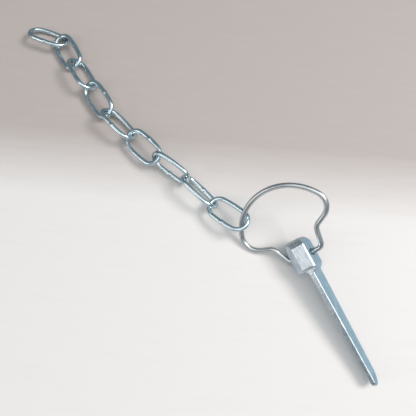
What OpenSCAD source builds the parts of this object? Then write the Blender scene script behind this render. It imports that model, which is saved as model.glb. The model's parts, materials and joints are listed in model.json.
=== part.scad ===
// Tailgate cotter pin with a hinged wire ring and a welded long-link retaining chain.
// The pin is one forging: a block head and a flat tapered shank. A sprung wire ring is hinged
// through the head, and nine welded links hang from the ring. The whole is laid out on a flat
// surface, ring turned back over the head and chain run out to one side.
// The origin is on that surface, under the middle of the laid-out assembly, with +Z up.

/* [Pin head] */
// Length of the head along the shank
head_len = 23; // [18:0.5:30]
// Width of the head, across the shank's wide faces
head_wide = 17; // [16.5:0.5:22]
// Thickness of the head, along the ring hole
head_thick = 16; // [13:0.5:20]
// How far the head sits off the ring's middle plane, towards its big bevel
head_offset = 2.8; // [1:0.1:4]
// Distance from the ring hole to the head's outer end
hole_to_end = 12.5; // [8:0.5:15]
// Diameter of the ring hole
ring_hole_d = 5; // [4.4:0.1:6]
// Small bevel along the head's far edges
head_bevel = 1.2; // [0.4:0.1:2.5]
// Cut across the edges of the head's two ends
end_bevel = 2.2; // [0.5:0.1:3]

/* [Pin shank] */
// Distance from the ring hole to the tip
tip_reach = 95; // [60:1:130]
// Width of the shank where it leaves the head
shank_wide = 15.4; // [10:0.2:16]
// Width of the shank at the start of its nose
nose_wide = 9.8; // [7:0.2:14]
// Thickness of the shank where it leaves the head
shank_thick = 3.9; // [3:0.1:6]
// Thickness of the shank at the start of its nose
nose_thick = 3.1; // [2.4:0.1:4.5]
// Fillet where the shank meets the head
shoulder_fillet = 2; // [0.5:0.5:3]

/* [Ring] */
// Diameter of the ring's spring wire
ring_wire_d = 3.6; // [3:0.1:4.2]
// Half length of the straight foot, out to its corner
foot_half = 13; // [13:0.5:18]
// Bend radius at the foot's corners
foot_bend = 4; // [3:0.5:5]
// How far out the neck's corner lies
neck_out = 17.5; // [15:0.5:22]
// How far up the neck's corner lies
neck_up = 14.5; // [12:0.5:18]
// Bend radius at the neck's corners
neck_bend = 6.5; // [4:0.5:9]
// Direction in which the wire leaves the neck for the loop
flare_angle = 23; // [15:1:35]
// Bend radius where the flare turns into the loop
loop_bend = 11; // [8:0.5:14]
// Radius of the loop, to the middle of the wire
loop_r = 35.5; // [30:0.5:45]
// Height of the loop's centre over the foot
loop_up = 17.5; // [14:0.5:24]
// Gap between the wire's two ends, inside the head
end_gap = 2; // [0.5:0.5:5]

/* [Chain] */
// Wire diameter of a link
link_wire_d = 3.5; // [3:0.1:4]
// Inside length of a link, which is its pitch
link_pitch = 28; // [24:0.5:36]
// Outside width of a link
link_wide = 19.1; // [17:0.1:24]
// Radius of a link's crowns, to the middle of the wire
crown_r = 7.3; // [6.5:0.1:7.7]
// Running gap where two wires hang together
hang_gap = 0.3; // [0.2:0.05:0.5]

/* [Lay of the pin and ring] */
// Heading of the shank
pin_heading = 161.5; // [150:0.5:175]
// How far the shank dips towards its tip
pin_dip = 5; // [0:0.5:10]
// Roll of the pin about its shank
pin_roll = 37; // [20:0.5:60]
// How far the ring is swung up from straight back over the head
ring_swing = 20; // [0:1:60]
// Height of the ring hole over the surface
hole_height = 12.8; // [10:0.1:16]

/* [Hidden] */
$fn = 48;

// How each link lies, from the ring to the free end: heading, rise, roll, where it hangs on the
// wire before it (on the ring an angle round the loop, on a link one round its far crown), and
// where its own near crown bears. All in degrees, and from crown angles counted to the left.
LINK_LAY = [
    [  7, -12,    1,  137,    5],
    [  0,   1,   55,    4,   -4],
    [  8,   2,  -73,    7,    5],
    [  0,  -4,  -20,    6,   -7],
    [ -1,   3,   44,    3,   -3],
    [-11,   0,  -31,  -22,  -17],
    [-14,  -3,   43,    3,    4],
    [-14,  -1,  -20,  -32,  -37],
    [ 24,   2,   28,  -33,  -58]
];
// The side of each link that has its weld: 1 is its left, -1 its right
WELD_SIDE = [1, -1, 1, -1, 1, -1, 1, -1, 1];

// Where the ring hole stands, so that the origin comes under the middle of the assembly
hole_at = [-98.8, -2.1, hole_height];

// Frames: a 3 by 3 matrix whose columns are the directions of a piece's own X, Y and Z
function turn_x(a) = [[1, 0, 0], [0, cos(a), -sin(a)], [0, sin(a), cos(a)]];
function turn_y(a) = [[cos(a), 0, sin(a)], [0, 1, 0], [-sin(a), 0, cos(a)]];
function turn_z(a) = [[cos(a), -sin(a), 0], [sin(a), cos(a), 0], [0, 0, 1]];
function lay_frame(heading, rise, roll) = turn_z(heading) * turn_y(-rise) * turn_x(roll);
function unit(v) = v / norm(v);
module put(frame, at) {
    multmatrix([
        [frame[0][0], frame[0][1], frame[0][2], at[0]],
        [frame[1][0], frame[1][1], frame[1][2], at[1]],
        [frame[2][0], frame[2][1], frame[2][2], at[2]],
        [0, 0, 0, 1]
    ]) children();
}

pin_frame = lay_frame(pin_heading, -pin_dip, pin_roll);
ring_frame = pin_frame * turn_z(90) * turn_x(ring_swing);

// Wire pieces, all in the XY plane. Bends have the wire's full diameter. The straight rods and
// the long arcs between them are a hair thinner and reach a little way into the bends.
hair = 0.04;
lap = 0.3;
module rod(from, to, wire_d) {
    run = unit(to - from);
    start = from - lap * run;
    translate([start[0], start[1], 0]) rotate([0, 90, atan2(run[1], run[0])])
        cylinder(h = norm(to - from) + 2 * lap, d = wire_d);
}
module bend(centre, radius, from_a, to_a, wire_d) {
    translate([centre[0], centre[1], 0]) rotate([0, 0, min(from_a, to_a)])
        rotate_extrude(angle = abs(to_a - from_a))
            translate([radius, 0]) circle(d = wire_d);
}
module long_arc(centre, radius, from_a, to_a, wire_d) {
    lap_a = lap / radius * 180 / PI;
    bend(centre, radius, from_a - lap_a, to_a + lap_a, wire_d - hair);
}

// Pin, in its own frame: the ring hole at the origin, X along the shank to the tip, Y along the
// hole and Z across the shank's width.
head_face = head_len - hole_to_end;
head_mid_x = head_len / 2 - hole_to_end;
big_bevel = [6, 4.5];
low_bevel = 2.5;
nose_curve = 10;
corner_r = 3;
shank_root = head_face - 3;
nose_x = tip_reach - nose_curve;
steel = [0.72, 0.75, 0.80];

// The head seen along the shank: a block with one big bevel where the forging was dressed
module head_section() {
    y0 = -head_offset - head_thick / 2;
    y1 = -head_offset + head_thick / 2;
    z1 = head_wide / 2;
    polygon([
        [y0 + low_bevel, -z1], [y1 - head_bevel, -z1], [y1, -z1 + head_bevel],
        [y1, z1 - head_bevel], [y1 - head_bevel, z1], [y0 + big_bevel[0], z1],
        [y0, z1 - big_bevel[1]], [y0, -z1 + low_bevel]
    ]);
}
// The head seen from a side: a rectangle with its corners cut
module head_side(across) {
    x1 = head_len / 2;
    y1 = across / 2;
    polygon([
        [-x1 + end_bevel, -y1], [x1 - end_bevel, -y1], [x1, -y1 + end_bevel],
        [x1, y1 - end_bevel], [x1 - end_bevel, y1], [-x1 + end_bevel, y1],
        [-x1, y1 - end_bevel], [-x1, -y1 + end_bevel]
    ]);
}
module head() {
    reach = 2 * head_wide;
    intersection() {
        translate([-hole_to_end, 0, 0]) rotate([90, 0, 90])
            linear_extrude(head_len) head_section();
        translate([head_mid_x, -head_offset, -reach / 2])
            linear_extrude(reach) head_side(head_thick);
        translate([head_mid_x, reach / 2, 0]) rotate([90, 0, 0])
            linear_extrude(reach) head_side(head_wide);
    }
}
// The shank's outline seen on its wide face. One edge curves in to the nose, the other runs
// nearly straight to a small rounded corner.
module shank_wide_outline() {
    z0 = shank_wide / 2;
    z1 = nose_wide / 2;
    curve_at = [nose_x, nose_curve - z1];
    drop = curve_at[1] - (z1 - corner_r);
    corner_at = [nose_x + sqrt(pow(nose_curve - corner_r, 2) - drop * drop), z1 - corner_r];
    touch = unit(corner_at - curve_at);
    difference() {
        union() {
            polygon([[shank_root, -z0], [head_face, -z0], [nose_x, -z1],
                [nose_x, z1], [head_face, z0], [shank_root, z0]]);
            intersection() {
                translate([nose_x, -z1]) square([nose_curve, nose_wide]);
                translate(curve_at) circle(nose_curve, $fn = 90);
            }
        }
        difference() {
            polygon([corner_at, corner_at + 9 * touch, corner_at + [9, 9], corner_at + [0, 9]]);
            translate(corner_at) circle(corner_r);
        }
    }
}
// The shank's outline seen on its narrow face, with its fillets at the head
module shank_thin_outline() {
    y0 = shank_thick / 2;
    y1 = nose_thick / 2;
    difference() {
        union() {
            polygon([[shank_root, -y0], [head_face, -y0], [nose_x, -y1],
                [tip_reach - y1, -y1], [tip_reach - y1, y1],
                [nose_x, y1], [head_face, y0], [shank_root, y0]]);
            translate([tip_reach - y1, 0]) circle(y1);
            translate([shank_root, -y0 - shoulder_fillet])
                square([head_face + shoulder_fillet - shank_root,
                    shank_thick + 2 * shoulder_fillet]);
        }
        for (side = [-1, 1])
            translate([head_face + shoulder_fillet, side * (y0 + shoulder_fillet)])
                circle(shoulder_fillet);
    }
}
module shank() {
    depth = shank_thick + 2 * shoulder_fillet;
    intersection() {
        translate([0, depth / 2, 0]) rotate([90, 0, 0])
            linear_extrude(depth) shank_wide_outline();
        translate([0, 0, -head_wide / 2]) linear_extrude(head_wide) shank_thin_outline();
    }
}
module pin() {
    color(steel) put(pin_frame, hole_at) difference() {
        union() {
            head();
            shank();
        }
        translate([0, head_thick, 0]) rotate([90, 0, 0])
            cylinder(h = 2 * head_thick + head_offset, d = ring_hole_d);
    }
}

// Ring, in its own frame: X along the foot, Y up through the loop. Each half runs from the foot
// through two neck bends and a flare to the loop. The halves are mirror images but for the foot.
neck_corner = [neck_out, neck_up];
leg_angle = atan2(neck_up, neck_out - foot_half);
leg_run = [cos(leg_angle), sin(leg_angle)];
flare_run = [cos(flare_angle), sin(flare_angle)];
flare_left = [-sin(flare_angle), cos(flare_angle)];
foot_cut = foot_bend * tan(leg_angle / 2);
neck_cut = neck_bend * tan((leg_angle - flare_angle) / 2);
foot_centre = [foot_half - foot_cut, foot_bend];
leg_start = [foot_half, 0] + foot_cut * leg_run;
leg_end = neck_corner - neck_cut * leg_run;
neck_centre = leg_end + neck_bend * [sin(leg_angle), -cos(leg_angle)];
flare_start = neck_corner + neck_cut * flare_run;
loop_centre = [0, loop_up];
// The loop bend is tangent to the flare and sits inside the loop, touching it
off_centre = neck_corner + loop_bend * flare_left - loop_centre;
along = off_centre * flare_run;
slide = sqrt(along * along - off_centre * off_centre + pow(loop_r - loop_bend, 2)) - along;
bend_centre = loop_centre + off_centre + slide * flare_run;
flare_end = bend_centre - loop_bend * flare_left;
join_angle = atan2(bend_centre[1] - loop_up, bend_centre[0]);

module ring_half(foot_from) {
    rod([foot_from + lap, 0], [foot_half - foot_cut, 0], ring_wire_d - hair);
    bend(foot_centre, foot_bend, -90, leg_angle - 90, ring_wire_d);
    rod(leg_start, leg_end, ring_wire_d - hair);
    bend(neck_centre, neck_bend, leg_angle + 90, flare_angle + 90, ring_wire_d);
    rod(flare_start, flare_end, ring_wire_d - hair);
    bend(bend_centre, loop_bend, flare_angle - 90, join_angle, ring_wire_d);
}
module spring_ring() {
    color(steel) put(ring_frame, hole_at) {
        ring_half(-head_offset + end_gap / 2);
        mirror([1, 0, 0]) ring_half(head_offset + end_gap / 2);
        long_arc(loop_centre, loop_r, join_angle, 180 - join_angle, ring_wire_d);
    }
}

// Link, in its own frame: its long axis along X, the crown nearest the ring at -X. The outline is
// four arcs, two round crowns and two nearly straight sides.
crown_x = (link_pitch + link_wire_d) / 2 - crown_r;
side_half = (link_wide - link_wire_d) / 2;
side_r = (crown_x * crown_x + side_half * side_half - crown_r * crown_r)
    / (2 * (side_half - crown_r));
side_turn = atan2(crown_x, side_r - side_half);
weld_long = 1.8;
weld_proud = 0.25;

module oval_link(weld_side) {
    for (end = [0, 180]) rotate([0, 0, end]) {
        bend([crown_x, 0], crown_r, side_turn - 90, 90 - side_turn, link_wire_d);
        long_arc([0, side_half - side_r], side_r, 90 - side_turn, 90 + side_turn, link_wire_d);
    }
    weld_y = weld_side * side_half;
    rod([-weld_long / 2, weld_y], [weld_long / 2, weld_y], link_wire_d + 2 * weld_proud);
}

// Where wires bear on each other: a point on a crown or on the ring, and the wire's run there
function crown_point(end, a) = [end * (crown_x + crown_r * cos(a)), crown_r * sin(a), 0];
function crown_run(end, a) = [-end * sin(a), cos(a), 0];
function ring_point(a) = [loop_r * cos(a), loop_up + loop_r * sin(a), 0];
function link_frame(i) = lay_frame(LINK_LAY[i][0], LINK_LAY[i][1], LINK_LAY[i][2]);

// Each link's place follows from the wire it hangs on: its near crown lies inside that wire, one
// wire spacing and a running gap away, at right angles to both.
function bears_at(i) = i == 0
    ? hole_at + ring_frame * ring_point(LINK_LAY[0][3])
    : link_at(i - 1) + link_frame(i - 1) * crown_point(1, LINK_LAY[i][3]);
function bears_along(i) = i == 0
    ? ring_frame * [-sin(LINK_LAY[0][3]), cos(LINK_LAY[0][3]), 0]
    : link_frame(i - 1) * crown_run(1, LINK_LAY[i][3]);
function pulls_away(i) = i == 0
    ? ring_frame * [cos(LINK_LAY[0][3]), sin(LINK_LAY[0][3]), 0]
    : link_frame(i - 1) * [1, 0, 0] + link_frame(i) * [1, 0, 0];
function spacing(i) = hang_gap + (i == 0 ? (link_wire_d + ring_wire_d) / 2 : link_wire_d);
function link_at(i) = let (
        across = unit(cross(bears_along(i), link_frame(i) * crown_run(-1, LINK_LAY[i][4]))),
        back = across * pulls_away(i) > 0 ? -across : across
    ) bears_at(i) + spacing(i) * back - link_frame(i) * crown_point(-1, LINK_LAY[i][4]);

module chain_link(i) {
    color(steel) put(link_frame(i), link_at(i)) oval_link(WELD_SIDE[i]);
}

pin();
spring_ring();
chain_link(0);  // chain_link_1
chain_link(1);  // chain_link_2
chain_link(2);  // chain_link_3
chain_link(3);  // chain_link_4
chain_link(4);  // chain_link_5
chain_link(5);  // chain_link_6
chain_link(6);  // chain_link_7
chain_link(7);  // chain_link_8
chain_link(8);  // chain_link_9
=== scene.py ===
import json
import math

import bpy
from mathutils import Matrix, Vector


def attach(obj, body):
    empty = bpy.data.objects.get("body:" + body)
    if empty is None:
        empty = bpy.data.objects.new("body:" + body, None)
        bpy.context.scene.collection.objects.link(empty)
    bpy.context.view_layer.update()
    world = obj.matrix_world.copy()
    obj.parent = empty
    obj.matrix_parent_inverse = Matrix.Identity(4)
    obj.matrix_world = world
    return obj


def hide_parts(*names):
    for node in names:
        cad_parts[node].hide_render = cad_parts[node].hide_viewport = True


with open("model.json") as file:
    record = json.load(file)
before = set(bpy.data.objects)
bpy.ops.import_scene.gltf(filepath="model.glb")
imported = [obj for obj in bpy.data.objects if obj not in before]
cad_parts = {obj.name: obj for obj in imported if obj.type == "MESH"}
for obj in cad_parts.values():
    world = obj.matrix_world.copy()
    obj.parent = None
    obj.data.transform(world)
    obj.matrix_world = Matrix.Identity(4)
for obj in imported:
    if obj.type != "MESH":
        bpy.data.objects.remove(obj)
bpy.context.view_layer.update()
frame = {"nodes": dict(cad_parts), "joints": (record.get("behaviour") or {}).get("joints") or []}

# ---- The pin -------------------------------------------------------------------------------
# One steel forging: a block head, sheared and dressed, and a flat tapered shank that curves in
# to a nose along one edge. The ring's hole is drilled across the head, and all is zinc plated.
MM = 0.001

HEAD_LOW = (-12.5, -10.8, -8.5)
HEAD_HIGH = (10.5, 5.2, 8.5)
SHANK_HALF = (1.95, 7.7)
NOSE_HALF = (1.55, 4.9)
FLARE_LONG = 2
NOSE_STARTS = 85
TIP = 95
NOSE_CURVE = 10
HOLE_RADIUS = 2.5
FORGING_GRAIN = 0.25
PIN_LIES = (161.5, -5, 37)


def turned(heading, rise, roll):
    """How a piece lies: its heading on the surface, its rise off it, and its roll."""
    return (
        Matrix.Rotation(math.radians(heading), 4, "Z")
        @ Matrix.Rotation(math.radians(-rise), 4, "Y")
        @ Matrix.Rotation(math.radians(roll), 4, "X")
    )


def only(piece):
    """Leaves one piece selected, and active."""
    bpy.ops.object.select_all(action="DESELECT")
    piece.select_set(True)
    bpy.context.view_layer.objects.active = piece


def billet(low, high):
    """A block of steel between two corners, given in mm."""
    bpy.ops.object.select_all(action="DESELECT")
    bpy.ops.mesh.primitive_cube_add(size=1, location=[(a + b) / 2 * MM for a, b in zip(low, high)])
    block = bpy.context.object
    block.scale = [(b - a) * MM for a, b in zip(low, high)]
    bpy.ops.object.transform_apply(location=True, rotation=True, scale=True)
    return block


def dress(block, at, facing):
    """Takes off all that stands beyond a plane through a point in mm, and closes the cut."""
    only(block)
    bpy.ops.object.mode_set(mode="EDIT")
    bpy.ops.mesh.select_all(action="SELECT")
    bpy.ops.mesh.bisect(
        plane_co=Vector(at) * MM, plane_no=Vector(facing).normalized(), clear_outer=True, use_fill=True
    )
    bpy.ops.object.mode_set(mode="OBJECT")


def draw_out(block, facing, length, taper):
    """Draws the face at one end out along itself by a length in mm, then narrows it."""
    only(block)
    end = max(face.center.dot(facing) for face in block.data.polygons)
    bpy.ops.object.mode_set(mode="EDIT")
    bpy.ops.mesh.select_mode(type="FACE")
    bpy.ops.mesh.select_all(action="DESELECT")
    bpy.ops.object.mode_set(mode="OBJECT")
    for face in block.data.polygons:
        face.select = end - face.center.dot(facing) < 0.01 * MM and face.normal.dot(facing) > 0.9
    bpy.ops.object.mode_set(mode="EDIT")
    bpy.ops.mesh.extrude_region_move(TRANSFORM_OT_translate={"value": facing * length * MM})
    bpy.ops.transform.resize(value=(1, *taper))
    bpy.ops.object.mode_set(mode="OBJECT")


def worked(piece, kind, **settings):
    """Puts one modifier on a piece and applies it."""
    only(piece)
    modifier = piece.modifiers.new(kind, kind)
    for setting, value in settings.items():
        setattr(modifier, setting, value)
    bpy.ops.object.modifier_apply(modifier=modifier.name)


def set_down(piece, name, place):
    """Names a finished piece and moves its mesh to its place, its object staying at the origin."""
    only(piece)
    piece.name = name
    piece.data.name = name
    piece.matrix_world = place
    bpy.ops.object.transform_apply(location=True, rotation=True, scale=True)


hinge = next(joint for joint in frame["joints"] if joint["name"] == "ring_hinge")
pin_place = Matrix.Translation(Vector(hinge["pos_m"])) @ turned(*PIN_LIES)

head = billet(HEAD_LOW, HEAD_HIGH)
dress(head, (0, -4.8, 8.5), (0, -0.6, 0.8))
dress(head, (0, -8.3, -8.5), (0, -1, -1))
dress(head, (0, 4.0, 8.5), (0, 1, 1))
dress(head, (0, 4.0, -8.5), (0, 1, -1))
for side in (-1, 1):
    edge_y = HEAD_LOW[1] if side < 0 else HEAD_HIGH[1]
    edge_z = side * HEAD_HIGH[2]
    # the outer end is rounded over in two cuts, the shoulder has one
    for lean, cut in ((0.45, 2.0), (1.0, 3.4), (2.2, 2.4)):
        dress(head, (HEAD_LOW[0], edge_y - side * cut, 0), (-1, side * lean, 0))
        dress(head, (HEAD_LOW[0], 0, edge_z - side * cut), (-1, 0, side * lean))
    dress(head, (HEAD_HIGH[0], edge_y - side * 1.6, 0), (1, side, 0))
    dress(head, (HEAD_HIGH[0], 0, edge_z - side * 1.6), (1, 0, side))
worked(head, "BEVEL", width=0.4 * MM, segments=2, limit_method="ANGLE")

bpy.ops.object.select_all(action="DESELECT")
bpy.ops.mesh.primitive_cylinder_add(
    vertices=48, radius=HOLE_RADIUS * MM, depth=60 * MM, rotation=(math.pi / 2, 0, 0)
)
drill = bpy.context.object
worked(head, "BOOLEAN", operation="DIFFERENCE", object=drill, solver="EXACT")
bpy.data.objects.remove(drill)

root_at = HEAD_HIGH[0] + FLARE_LONG
shank = billet((root_at - 3, -SHANK_HALF[0], -SHANK_HALF[1]), (root_at, SHANK_HALF[0], SHANK_HALF[1]))
taper = (NOSE_HALF[0] / SHANK_HALF[0], NOSE_HALF[1] / SHANK_HALF[1])
draw_out(shank, Vector((1, 0, 0)), NOSE_STARTS - root_at, taper)
draw_out(shank, Vector((1, 0, 0)), TIP - NOSE_STARTS, (1, 1))
flare = billet((HEAD_HIGH[0] - 3, -4, -7.6), (HEAD_HIGH[0], 4, 7.6))
draw_out(flare, Vector((1, 0, 0)), FLARE_LONG, (0.49, 1))

# the nose: one edge is swept in on a long curve, the corner it meets is small and round
curve_at = Vector((NOSE_STARTS, 0, NOSE_CURVE - NOSE_HALF[1]))
for degrees in (-78, -64, -50, -36, -22, -8):
    way = Vector((math.cos(math.radians(degrees)), 0, math.sin(math.radians(degrees))))
    dress(shank, curve_at + NOSE_CURVE * way, way)
corner_at = Vector((91.2, 0, 1.9))
for degrees in (-10, 10, 30, 50, 70):
    way = Vector((math.cos(math.radians(degrees)), 0, math.sin(math.radians(degrees))))
    dress(shank, corner_at + 3 * way, way)
worked(shank, "BEVEL", width=0.35 * MM, segments=2, limit_method="ANGLE", angle_limit=math.radians(40))

# head and shank are one forging: they are made one skin, then softened as a plated forging is
bpy.ops.object.select_all(action="DESELECT")
shank.select_set(True)
flare.select_set(True)
head.select_set(True)
bpy.context.view_layer.objects.active = head
bpy.ops.object.join()
worked(head, "REMESH", mode="VOXEL", voxel_size=FORGING_GRAIN * MM)
worked(head, "SMOOTH", factor=0.5, iterations=6)
scale_marks = bpy.data.textures.new("forging_scale", "CLOUDS")
scale_marks.noise_scale = 3.5 * MM
worked(head, "DISPLACE", texture=scale_marks, strength=0.10 * MM, mid_level=0.5)
bpy.ops.object.shade_smooth()
forged_pin = head
set_down(forged_pin, "forged_pin", pin_place)


class Value:
    """A socket in a finish, so that the finish's maths reads as plain sums."""

    def __init__(self, tree, socket):
        self.tree = tree
        self.socket = socket

    def combined(self, operation, first, second):
        maths = self.tree.nodes.new("ShaderNodeMath")
        maths.operation = operation
        for place, term in zip(maths.inputs, (first, second)):
            if isinstance(term, Value):
                self.tree.links.new(term.socket, place)
            else:
                place.default_value = term
        return Value(self.tree, maths.outputs[0])

    def __add__(self, other):
        return self.combined("ADD", self, other)

    def __radd__(self, other):
        return self.combined("ADD", other, self)

    def __sub__(self, other):
        return self.combined("SUBTRACT", self, other)

    def __rsub__(self, other):
        return self.combined("SUBTRACT", other, self)

    def __mul__(self, other):
        return self.combined("MULTIPLY", self, other)

    def __rmul__(self, other):
        return self.combined("MULTIPLY", other, self)


class Finish:
    """One surface finish, built up node by node."""

    def __init__(self, name):
        self.material = bpy.data.materials.new(name)
        self.material.use_nodes = True
        self.tree = self.material.node_tree
        self.shader = self.tree.nodes["Principled BSDF"]

    def feed(self, socket, value):
        if isinstance(value, Value):
            self.tree.links.new(value.socket, socket)
        else:
            socket.default_value = value

    def node(self, kind, output, settings=None, **sockets):
        made = self.tree.nodes.new("ShaderNode" + kind)
        for setting, value in (settings or {}).items():
            if setting == "stops":
                ramp = made.color_ramp
                while len(ramp.elements) < len(value):
                    ramp.elements.new(0.5)
                for element, (at, colour) in zip(ramp.elements, value):
                    element.position = at
                    element.color = (*colour, 1)
            else:
                setattr(made, setting, value)
        for socket, value in sockets.items():
            self.feed(made.inputs[socket.replace("_", " ")], value)
        return Value(self.tree, made.outputs[output])

    def mixed(self, first, second, share):
        """The second colour over the first, by a share from 0 to 1."""
        mix = self.tree.nodes.new("ShaderNodeMix")
        mix.data_type = "RGBA"
        for place, value in (("Factor_Float", share), ("A_Color", first), ("B_Color", second)):
            self.feed(next(s for s in mix.inputs if s.identifier == place), value)
        return Value(self.tree, next(s for s in mix.outputs if s.identifier == "Result_Color"))

    def shade(self, **sockets):
        for socket, value in sockets.items():
            self.feed(self.shader.inputs[socket.replace("_", " ")], value)

    def put_on(self, piece):
        piece.data.materials.clear()
        piece.data.materials.append(self.material)


# Zinc on the forging: silvery blue, cloudy and finely pitted, with drag marks along the head; a painted
# reflection on the broad faces
forging_zinc = Finish("forging_zinc")
everywhere = forging_zinc.node("TexCoord", "Object")
unplace = pin_place.inverted()
along_pin = forging_zinc.node(
    "Mapping", "Vector", Vector=everywhere, Location=unplace.translation, Rotation=unplace.to_euler()
)
drag = forging_zinc.node("Mapping", "Vector", Vector=along_pin, Scale=(0.10, 1, 1))
reach = forging_zinc.node("SeparateXYZ", "X", Vector=along_pin)
on_head = forging_zinc.node(
    "MapRange", "Result", Value=reach, From_Min=12 * MM, From_Max=10 * MM, To_Min=0, To_Max=1
)
cloudy = forging_zinc.node("TexNoise", "Fac", Vector=along_pin, Scale=220, Detail=4, Roughness=0.6)
mottle = forging_zinc.node("TexNoise", "Fac", Vector=along_pin, Scale=1100, Detail=3, Roughness=0.6)
drag_marks = forging_zinc.node("TexNoise", "Fac", Vector=drag, Scale=1500, Detail=3, Roughness=0.65)
# painted reflection: the broad faces are painted bluer and darker by which way they face, standing in for
# a dark surround mirrored in them
facing = forging_zinc.node(
    "Mapping",
    "Vector",
    {"vector_type": "VECTOR"},
    Vector=forging_zinc.node("TexCoord", "Normal"),
    Rotation=unplace.to_euler(),
)
across = forging_zinc.node("SeparateXYZ", "Y", Vector=facing)
painted_reflection_share = across * across
tone = (cloudy * 0.5 + mottle * 0.5) * (1 - on_head) + (drag_marks * 0.75 + cloudy * 0.25) * on_head
silver = forging_zinc.node(
    "ValToRGB",
    "Color",
    {"stops": ((0.34, (0.40, 0.44, 0.48)), (0.50, (0.58, 0.62, 0.66)), (0.64, (0.80, 0.83, 0.85)))},
    Fac=tone,
)
painted_reflection_blue = forging_zinc.node(
    "ValToRGB",
    "Color",
    {"stops": ((0.34, (0.32, 0.46, 0.56)), (0.55, (0.46, 0.61, 0.71)), (0.68, (0.60, 0.72, 0.79)))},
    Fac=tone,
)
# painted reflection: the blue is laid over the broad faces, the silvery zinc stays on the others
zinc_with_painted_reflection = forging_zinc.mixed(silver, painted_reflection_blue, painted_reflection_share)
forging_relief = mottle * (0.7 - on_head * 0.2) + drag_marks * (on_head * 0.9 + 0.15)
forging_zinc.shade(
    Base_Color=zinc_with_painted_reflection,
    Metallic=1.0,
    Specular_Tint=(0.5, 0.6, 0.66, 1),
    Roughness=0.22 + mottle * 0.18 + on_head * 0.06,
    Normal=forging_zinc.node(
        "Bump", "Normal", Strength=0.45, Distance=0.10 * MM, Height=forging_relief
    ),
)
forging_zinc.put_on(forged_pin)
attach(forged_pin, "pin")
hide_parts("pin")

# ---- The ring ------------------------------------------------------------------------------
# One length of drawn spring wire, bent to a loop with two necks. Its ends turn in and spring
# into the head's hole from both sides, so the ring swings about its straight foot.
RING_WIRE = 3.6
RING_SWING = 20
ROUND_THE_WIRE = 28
FOOT_HALF = 13
FOOT_BEND = 4
NECK = Vector((17.5, 14.5))
NECK_BEND = 6.5
FLARE = 23
LOOP_BEND = 11
LOOP_RADIUS = 35.5
LOOP_CENTRE = Vector((0, 17.5))
INNER_ENDS = (-3.8, -1.8)


def heading_of(degrees):
    return Vector((math.cos(math.radians(degrees)), math.sin(math.radians(degrees))))


def start_wire(thickness, at):
    """The cut end of a wire that runs off along +X from a point in mm, ready to be drawn on."""
    bpy.ops.object.select_all(action="DESELECT")
    bpy.ops.mesh.primitive_circle_add(
        vertices=ROUND_THE_WIRE,
        radius=thickness / 2 * MM,
        location=(at[0] * MM, at[1] * MM, 0),
        rotation=(0, math.pi / 2, 0),
    )
    bpy.ops.object.transform_apply(location=True, rotation=True, scale=True)
    bpy.ops.object.mode_set(mode="EDIT")
    bpy.ops.mesh.select_mode(type="VERT")
    bpy.ops.mesh.select_all(action="SELECT")
    return bpy.context.object


def run_on(start, end):
    """Draws the wire's end straight on, from one point in mm to another."""
    step = (Vector(end) - Vector(start)) * MM
    bpy.ops.mesh.extrude_region_move(TRANSFORM_OT_translate={"value": (step[0], step[1], 0)})


def bend_round(centre, degrees, steps):
    """Bends the wire's end round a former: leftwards if the angle is positive."""
    bpy.ops.mesh.spin(
        steps=steps,
        angle=-math.radians(degrees),
        center=(centre[0] * MM, centre[1] * MM, 0),
        axis=(0, 0, 1),
    )


def finish_wire(join):
    """Welds the wire to its own start, or cuts its two ends square, and turns its skin outwards."""
    bpy.ops.mesh.select_all(action="SELECT")
    if join:
        bpy.ops.mesh.remove_doubles(threshold=0.02 * MM)
    else:
        bpy.ops.mesh.fill_holes(sides=0)
    bpy.ops.mesh.select_all(action="SELECT")
    bpy.ops.mesh.normals_make_consistent(inside=False)
    bpy.ops.object.mode_set(mode="OBJECT")
    bpy.ops.object.shade_smooth_by_angle(angle=math.radians(50))


leg_angle = math.degrees(math.atan2(NECK.y, NECK.x - FOOT_HALF))
leg, flare = heading_of(leg_angle), heading_of(FLARE)
flare_left = heading_of(FLARE + 90)
foot_cut = FOOT_BEND * math.tan(math.radians(leg_angle / 2))
neck_cut = NECK_BEND * math.tan(math.radians((leg_angle - FLARE) / 2))
leg_start = Vector((FOOT_HALF, 0)) + foot_cut * leg
leg_end = NECK - neck_cut * leg
flare_start = NECK + neck_cut * flare
off_centre = NECK + LOOP_BEND * flare_left - LOOP_CENTRE
along = off_centre.dot(flare)
slide = math.sqrt(along**2 - off_centre.length_squared + (LOOP_RADIUS - LOOP_BEND) ** 2) - along
shoulder_at = LOOP_CENTRE + off_centre + slide * flare
flare_end = shoulder_at - LOOP_BEND * flare_left
joins_at = math.degrees(math.atan2(shoulder_at.y - LOOP_CENTRE.y, shoulder_at.x))
foot_at = Vector((FOOT_HALF - foot_cut, FOOT_BEND))
neck_at = leg_end + NECK_BEND * heading_of(leg_angle - 90)


def other_side(point):
    return Vector((-point[0], point[1]))


wire_ring = start_wire(RING_WIRE, (INNER_ENDS[1], 0))
run_on((INNER_ENDS[1], 0), (foot_at.x, 0))
bend_round(foot_at, leg_angle, 12)
run_on(leg_start, leg_end)
bend_round(neck_at, FLARE - leg_angle, 12)
run_on(flare_start, flare_end)
bend_round(shoulder_at, joins_at + 90 - FLARE, 20)
bend_round(LOOP_CENTRE, 180 - 2 * joins_at, 64)
bend_round(other_side(shoulder_at), joins_at + 90 - FLARE, 20)
run_on(other_side(flare_end), other_side(flare_start))
bend_round(other_side(neck_at), FLARE - leg_angle, 12)
run_on(other_side(leg_end), other_side(leg_start))
bend_round(other_side(foot_at), leg_angle, 12)
run_on((-foot_at.x, 0), (INNER_ENDS[0], 0))
finish_wire(join=False)
swing = Matrix.Rotation(math.radians(RING_SWING), 4, "X")
ring_place = pin_place @ Matrix.Rotation(math.pi / 2, 4, "Z") @ swing
set_down(wire_ring, "wire_ring", ring_place)


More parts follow.
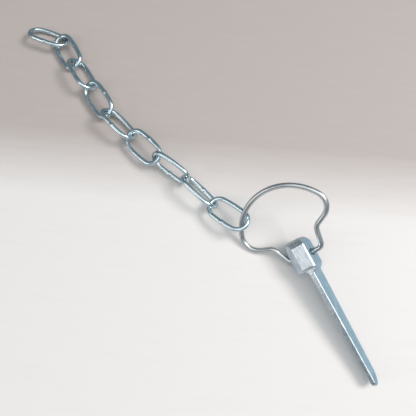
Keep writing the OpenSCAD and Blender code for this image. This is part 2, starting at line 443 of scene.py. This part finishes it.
def wire_zinc(name, dark, light, gloss):
    """Bright zinc on drawn wire: smoother than the forging, with faint clouds and fine lines."""
    zinc = Finish(name)
    place = zinc.node("TexCoord", "Object")
    clouds = zinc.node("TexNoise", "Fac", Vector=place, Scale=190, Detail=2, Roughness=0.5)
    grain = zinc.node("TexNoise", "Fac", Vector=place, Scale=1700, Detail=2, Roughness=0.6)
    colour = zinc.node(
        "ValToRGB", "Color", {"stops": ((0.25, dark), (0.72, light))}, Fac=clouds * 0.8 + grain * 0.2
    )
    zinc.shade(
        Base_Color=colour,
        Metallic=1.0,
        Specular_Tint=(0.35, 0.48, 0.56, 1),
        Roughness=gloss + clouds * 0.10,
        Normal=zinc.node("Bump", "Normal", Strength=0.08, Distance=0.05 * MM, Height=grain * 0.4 + clouds),
    )
    return zinc


wire_zinc("ring_wire_zinc", (0.54, 0.55, 0.56), (0.68, 0.69, 0.69), 0.24).put_on(wire_ring)
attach(wire_ring, "spring_ring")
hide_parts("spring_ring")

# ---- The chain -----------------------------------------------------------------------------
# Nine long links, each one piece of round wire bent to an oval and butt welded in the middle
# of a long side, where the weld stands a little proud. The links are closed on one another.
LINK_WIRE = 3.5
CROWN_RADIUS = 7.3
CROWN_AT = 8.45
SIDE_HALF = 7.8
WELD_PROUD = 0.25
WELD_WIDENS = 0.135
# heading, rise and roll of each link, from the ring outwards, and which side its weld is on
LINKS_LIE = (
    (7, -12, 1, 1),
    (0, 1, 55, -1),
    (8, 2, -73, 1),
    (0, -4, -20, -1),
    (-1, 3, 44, 1),
    (-11, 0, -31, -1),
    (-14, -3, 43, 1),
    (-14, -1, -20, -1),
    (24, 2, 28, 1),
)

side_radius = (CROWN_AT**2 + SIDE_HALF**2 - CROWN_RADIUS**2) / (2 * (SIDE_HALF - CROWN_RADIUS))
side_turn = math.degrees(math.atan2(CROWN_AT, side_radius - SIDE_HALF))
# the wire starts in the middle of the lower side, and meets itself there again
open_link = start_wire(LINK_WIRE, (0, -SIDE_HALF))
bend_round((0, side_radius - SIDE_HALF), side_turn, 10)
bend_round((CROWN_AT, 0), 180 - 2 * side_turn, 28)
bend_round((0, SIDE_HALF - side_radius), 2 * side_turn, 20)
bend_round((-CROWN_AT, 0), 180 - 2 * side_turn, 28)
bend_round((0, side_radius - SIDE_HALF), side_turn, 10)
finish_wire(join=True)


def swell(link, reach, proud):
    """Swells the wire round the weld: all rings of the skin within reach of its middle, in mm."""
    only(link)
    bpy.ops.object.mode_set(mode="EDIT")
    bpy.ops.mesh.select_all(action="DESELECT")
    bpy.ops.object.mode_set(mode="OBJECT")
    for vertex in link.data.vertices:
        vertex.select = vertex.co.y > 0 and abs(vertex.co.x) < reach * MM
    bpy.ops.object.mode_set(mode="EDIT")
    bpy.ops.transform.shrink_fatten(value=proud * MM)
    bpy.ops.object.mode_set(mode="OBJECT")


swell(open_link, 1.1, WELD_PROUD * 0.6)
swell(open_link, 0.3, WELD_PROUD * 0.4)

link_zinc = wire_zinc("link_wire_zinc", (0.52, 0.63, 0.69), (0.70, 0.79, 0.82), 0.20)
for number, (heading, rise, roll, weld) in enumerate(LINKS_LIE, 1):
    node = f"chain_link_{number}"
    lies = turned(heading, rise, roll if weld > 0 else roll + 180)
    # the link's middle is half way along the solid in each of its own directions, but for the
    # weld, which makes the solid a little wider on one side
    middle = Vector((0, 0, 0))
    for axis in range(3):
        way = lies.col[axis].xyz
        spans = [way.dot(vertex.co) for vertex in frame["nodes"][node].data.vertices]
        middle += way * (min(spans) + max(spans)) / 2
    middle -= lies.col[1].xyz * WELD_WIDENS * MM
    only(open_link)
    bpy.ops.object.duplicate()
    link = bpy.context.object
    set_down(link, f"welded_link_{number}", Matrix.Translation(middle) @ lies)
    link_zinc.put_on(link)
    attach(link, node)
    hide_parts(node)
bpy.data.objects.remove(open_link)

# ---- The surface, the light and the camera -------------------------------------------------
# A pale satin surface, its colour painted darker towards the back as painted shade. A soft key light
# stands high on the right, a broad one hangs overhead and a weak low one comes from the left. The camera
# looks steeply down.
bpy.ops.object.select_all(action="DESELECT")
bpy.ops.mesh.primitive_plane_add(size=6, location=(0, 0, 0))
surface = bpy.context.object
surface.name = "surface"
pale = Finish("pale_satin")
over = pale.node("TexCoord", "Object")
depth = pale.node("Mapping", "Vector", Vector=over, Rotation=(0, 0, math.radians(50)))
far = pale.node("SeparateXYZ", "X", Vector=depth)
streaks = pale.node(
    "TexNoise",
    "Fac",
    Vector=pale.node("Mapping", "Vector", Vector=depth, Scale=(4, 0.4, 1)),
    Scale=60,
    Detail=3,
)
# painted shade: the surface's colour darkens towards the back
back_painted_shade = pale.node("MapRange", "Result", Value=far, From_Min=-0.03, From_Max=0.025, To_Min=0, To_Max=1)
pale.shade(
    Base_Color=pale.node(
        "ValToRGB",
        "Color",
        {"stops": ((0.0, (0.80, 0.765, 0.745)), (1.0, (0.49, 0.43, 0.405)))},
        Fac=back_painted_shade + streaks * 0.16 - 0.08,
    ),
    Roughness=0.62,
)
pale.put_on(surface)


def soft_light(name, size, energy, colour, at, aim):
    """A square soft light at a point, facing another, in metres."""
    lamp = bpy.data.lights.new(name, "AREA")
    lamp.size = size
    lamp.energy = energy
    lamp.color = colour
    light = bpy.data.objects.new(name, lamp)
    light.location = at
    light.rotation_euler = (Vector(aim) - Vector(at)).to_track_quat("-Z", "Y").to_euler()
    bpy.context.scene.collection.objects.link(light)


soft_light("key", 0.7, 23, (1.0, 0.975, 0.96), (-0.84, -1.0, 1.45), (-0.02, 0.02, 0))
soft_light("top", 1.7, 10, (1.0, 0.99, 0.98), (-0.28, 0.16, 1.2), (0, 0, 0))
soft_light("low", 0.8, 4, (1.0, 0.98, 0.96), (0.55, 1.25, 0.72), (-0.05, 0, 0))

room = bpy.data.worlds.new("room")
room.use_nodes = True
room_light = room.node_tree.nodes["Background"]
room_light.inputs["Color"].default_value = (0.70, 0.90, 1.0, 1)
room_light.inputs["Strength"].default_value = 0.23
bpy.context.scene.view_settings.view_transform = "Standard"
bpy.context.scene.world = room

CAMERA_DOWN = math.radians(72)
CAMERA_AWAY = 0.347
looks_at = Vector((-0.02434, 0.0189, 0.0002))
look = Vector(
    (
        math.cos(CAMERA_DOWN) * math.sqrt(0.5),
        -math.cos(CAMERA_DOWN) * math.sqrt(0.5),
        -math.sin(CAMERA_DOWN),
    )
)
lens = bpy.data.cameras.new("camera")
lens.sensor_width = 36
lens.lens = 470 / 416 * 36
lens.clip_start = 0.01
camera = bpy.data.objects.new("camera", lens)
camera.location = looks_at - look * CAMERA_AWAY
camera.rotation_euler = look.to_track_quat("-Z", "Y").to_euler()
bpy.context.scene.collection.objects.link(camera)
bpy.context.scene.camera = camera
